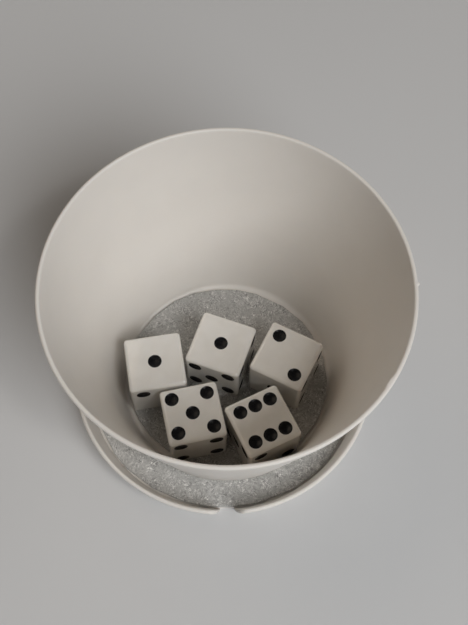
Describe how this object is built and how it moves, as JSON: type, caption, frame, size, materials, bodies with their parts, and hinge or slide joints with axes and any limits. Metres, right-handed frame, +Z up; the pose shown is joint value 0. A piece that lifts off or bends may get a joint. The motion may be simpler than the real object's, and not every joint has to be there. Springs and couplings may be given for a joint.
{
  "type": "dice cup with tray and dice",
  "caption": "Flared round dice cup with a felt floor, standing in a shallow felt-lined tray with a slot through its wall, with dice lying in the cup.",
  "frame": {"origin": "on the cup's axis, on the surface that the tray stands on", "axes": "+Z up along the cup's axis, -Y towards the slot in the tray's wall"},
  "size_m": [0.0906, 0.0906, 0.0649],
  "materials": {
    "cup_plastic": "satin, printed in fine layers",
    "tray_plastic": "satin, printed in fine layers",
    "cup_felt": "pressed wool felt",
    "tray_felt": "pressed wool felt",
    "glue": "thin clear glue film",
    "die_plastic": "polished ivory white",
    "pip_paint": "gloss black paint"
  },
  "bodies": {
    "tray": {"tray_dish": "tray_plastic", "tray_glue": "glue", "tray_felt": "tray_felt"},
    "cup": {"cup_shell": "cup_plastic", "cup_glue": "glue", "cup_felt": "cup_felt"},
    "loose_die_1": {"die_1": "die_plastic", "die_1_pips": "pip_paint"},
    "loose_die_2": {"die_2": "die_plastic", "die_2_pips": "pip_paint"},
    "loose_die_3": {"die_3": "die_plastic", "die_3_pips": "pip_paint"},
    "loose_die_4": {"die_4": "die_plastic", "die_4_pips": "pip_paint"},
    "loose_die_5": {"die_5": "die_plastic", "die_5_pips": "pip_paint"}
  },
  "joints": [
    {"name": "cup_lift", "type": "slide", "parent": "tray", "child": "cup", "axis": [0, 0, 1], "range_m": [0, 0.04]},
    {"name": "die_1_lift", "type": "slide", "parent": "cup", "child": "loose_die_1", "axis": [0, 0, 1], "range_m": [0, 0.07]},
    {"name": "die_2_lift", "type": "slide", "parent": "cup", "child": "loose_die_2", "axis": [0, 0, 1], "range_m": [0, 0.07]},
    {"name": "die_3_lift", "type": "slide", "parent": "cup", "child": "loose_die_3", "axis": [0, 0, 1], "range_m": [0, 0.07]},
    {"name": "die_4_lift", "type": "slide", "parent": "cup", "child": "loose_die_4", "axis": [0, 0, 1], "range_m": [0, 0.07]},
    {"name": "die_5_lift", "type": "slide", "parent": "cup", "child": "loose_die_5", "axis": [0, 0, 1], "range_m": [0, 0.07]}
  ]
}
